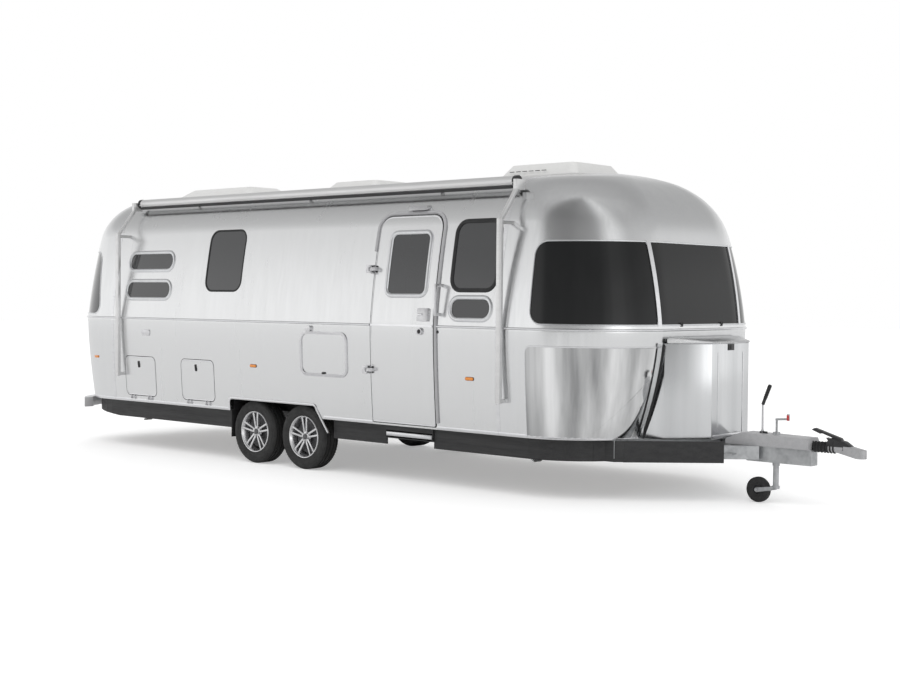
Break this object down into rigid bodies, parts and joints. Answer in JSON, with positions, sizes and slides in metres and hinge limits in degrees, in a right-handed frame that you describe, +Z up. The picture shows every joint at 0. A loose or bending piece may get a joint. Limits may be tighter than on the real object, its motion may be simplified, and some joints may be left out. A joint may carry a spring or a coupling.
{
  "type": "travel caravan",
  "caption": "Twin-axle touring caravan with a rounded polished aluminium body, dark wraparound windows, side awning and drawbar, parked on its jockey wheel.",
  "frame": {"origin": "on the ground, on the centre line, midway between the tail and the tip of the coupling", "axes": "+X forward to the coupling, +Y to the left, +Z up"},
  "size_m": [8.761, 2.547, 2.7384],
  "materials": {
    "aluminium_skin": "polished, slightly satin sheet",
    "polished_trim": "bright polished",
    "window_glass": "dark tinted acrylic",
    "window_frame": "satin frame",
    "floor_board": "grey-brown sealed board",
    "skirt_plastic": "matte black",
    "galvanised_steel": "dull galvanised",
    "drawbar_plastic": "moulded grey plastic",
    "black_rubber": "matte bellows",
    "coupling_metal": "silver grey paint",
    "black_plastic": "satin black",
    "axle_steel": "dull dark grey paint",
    "locker_panel": "polished sheet",
    "locker_lid": "satin dark grey",
    "awning_metal": "satin white-grey",
    "roof_plastic": "off-white moulding",
    "fitting_metal": "satin fittings",
    "amber_lens": "clear amber lens",
    "red_lens": "clear red lens",
    "bumper_metal": "satin",
    "step_tread": "ribbed satin tread",
    "wheel_alloy": "machined alloy wheel",
    "tyre_rubber": "matte black tyre",
    "jockey_rubber": "solid black tyre and hub"
  },
  "bodies": {
    "caravan": {"right_wall": "aluminium_skin", "left_wall": "aluminium_skin", "front_cap": "aluminium_skin", "rear_cap": "aluminium_skin", "roof_panel": "aluminium_skin", "stone_guards": "polished_trim", "belt_moulding": "polished_trim", "wheel_arch_trims": "polished_trim", "side_windows": "window_glass", "end_windows": "window_glass", "side_window_frames": "window_frame", "floor_pan": "floor_board", "skirts": "skirt_plastic", "wheel_wells": "skirt_plastic", "step_housing": "skirt_plastic", "chassis_frame": "galvanised_steel", "a_frame": "galvanised_steel", "jockey_outer_tube": "galvanised_steel", "drawbar_cover": "drawbar_plastic", "overrun_shaft": "black_rubber", "coupling_head": "coupling_metal", "hand_levers": "black_plastic", "axles": "axle_steel", "gas_locker": "locker_panel", "awning_roller": "awning_metal", "awning_arms": "awning_metal", "roof_units": "roof_plastic", "side_fittings": "fitting_metal", "marker_lights": "amber_lens", "tail_lights": "red_lens", "rear_bumper": "bumper_metal"},
    "entry_door": {"entry_door": "aluminium_skin", "entry_door_window": "window_glass", "door_hardware": "fitting_metal"},
    "entry_step": {"entry_step": "step_tread"},
    "rear_locker_hatch": {"rear_locker_hatch": "aluminium_skin"},
    "front_locker_hatch": {"front_locker_hatch": "aluminium_skin"},
    "left_locker_hatch": {"left_locker_hatch": "aluminium_skin"},
    "gas_locker_lid": {"gas_locker_lid": "locker_lid"},
    "wheel_front_right": {"wheel_front_right": "wheel_alloy", "tyre_front_right": "tyre_rubber"},
    "wheel_front_left": {"wheel_front_left": "wheel_alloy", "tyre_front_left": "tyre_rubber"},
    "wheel_rear_right": {"wheel_rear_right": "wheel_alloy", "tyre_rear_right": "tyre_rubber"},
    "wheel_rear_left": {"wheel_rear_left": "wheel_alloy", "tyre_rear_left": "tyre_rubber"},
    "jockey_leg": {"jockey_inner_tube": "galvanised_steel"},
    "jockey_swivel": {"jockey_fork": "galvanised_steel"},
    "jockey_roller": {"jockey_wheel": "jockey_rubber"},
    "steady_front_right": {"steady_front_right": "galvanised_steel"},
    "steady_front_left": {"steady_front_left": "galvanised_steel"},
    "steady_rear_right": {"steady_rear_right": "galvanised_steel"},
    "steady_rear_left": {"steady_rear_left": "galvanised_steel"}
  },
  "joints": [
    {"name": "wheel_front_right_spin", "type": "hinge", "parent": "caravan", "child": "wheel_front_right", "pos_m": [-0.545, -1.0675, 0.298], "axis": [0, 1, 0], "continuous": true},
    {"name": "wheel_front_left_spin", "type": "hinge", "parent": "caravan", "child": "wheel_front_left", "pos_m": [-0.545, 1.0675, 0.298], "axis": [0, 1, 0], "continuous": true},
    {"name": "wheel_rear_right_spin", "type": "hinge", "parent": "caravan", "child": "wheel_rear_right", "pos_m": [-1.23, -1.0675, 0.298], "axis": [0, 1, 0], "continuous": true},
    {"name": "wheel_rear_left_spin", "type": "hinge", "parent": "caravan", "child": "wheel_rear_left", "pos_m": [-1.23, 1.0675, 0.298], "axis": [0, 1, 0], "continuous": true},
    {"name": "entry_door_hinge", "type": "hinge", "parent": "caravan", "child": "entry_door", "pos_m": [0.387, -1.264, 0.957], "axis": [0, -0.046, -0.9989], "range_deg": [0, 110]},
    {"name": "rear_locker_hatch_hinge", "type": "hinge", "parent": "caravan", "child": "rear_locker_hatch", "pos_m": [-2.945, -1.20816, 0.548], "axis": [1, 0, 0], "range_deg": [0, 95]},
    {"name": "front_locker_hatch_hinge", "type": "hinge", "parent": "caravan", "child": "front_locker_hatch", "pos_m": [-2.011, -1.20816, 0.548], "axis": [1, 0, 0], "range_deg": [0, 95]},
    {"name": "left_locker_hatch_hinge", "type": "hinge", "parent": "caravan", "child": "left_locker_hatch", "pos_m": [-2.945, 1.20816, 0.548], "axis": [-1, 0, 0], "range_deg": [0, 95]},
    {"name": "gas_locker_lid_hinge", "type": "hinge", "parent": "caravan", "child": "gas_locker_lid", "pos_m": [2.968, 0, 1.292], "axis": [0, -1, 0], "range_deg": [0, 70]},
    {"name": "entry_step_slide", "type": "slide", "parent": "caravan", "child": "entry_step", "axis": [0, -1, 0], "range_m": [0, 0.3]},
    {"name": "jockey_slide", "type": "slide", "parent": "caravan", "child": "jockey_leg", "axis": [0, 0, 1], "range_m": [-0.06, 0.1]},
    {"name": "jockey_swivel_turn", "type": "hinge", "parent": "jockey_leg", "child": "jockey_swivel", "pos_m": [3.633, 0, 0.142], "axis": [0, 0, 1], "continuous": true},
    {"name": "jockey_wheel_spin", "type": "hinge", "parent": "jockey_swivel", "child": "jockey_roller", "pos_m": [3.483, 0, 0.1], "axis": [0, 1, 0], "continuous": true},
    {"name": "steady_front_right_hinge", "type": "hinge", "parent": "caravan", "child": "steady_front_right", "pos_m": [2.39, -0.81, 0.345], "axis": [0, -1, 0], "range_deg": [0, 32.5]},
    {"name": "steady_front_left_hinge", "type": "hinge", "parent": "caravan", "child": "steady_front_left", "pos_m": [2.39, 0.81, 0.345], "axis": [0, -1, 0], "range_deg": [0, 32.5]},
    {"name": "steady_rear_right_hinge", "type": "hinge", "parent": "caravan", "child": "steady_rear_right", "pos_m": [-3.855, -0.81, 0.345], "axis": [0, 1, 0], "range_deg": [0, 32.5]},
    {"name": "steady_rear_left_hinge", "type": "hinge", "parent": "caravan", "child": "steady_rear_left", "pos_m": [-3.855, 0.81, 0.345], "axis": [0, 1, 0], "range_deg": [0, 32.5]}
  ]
}
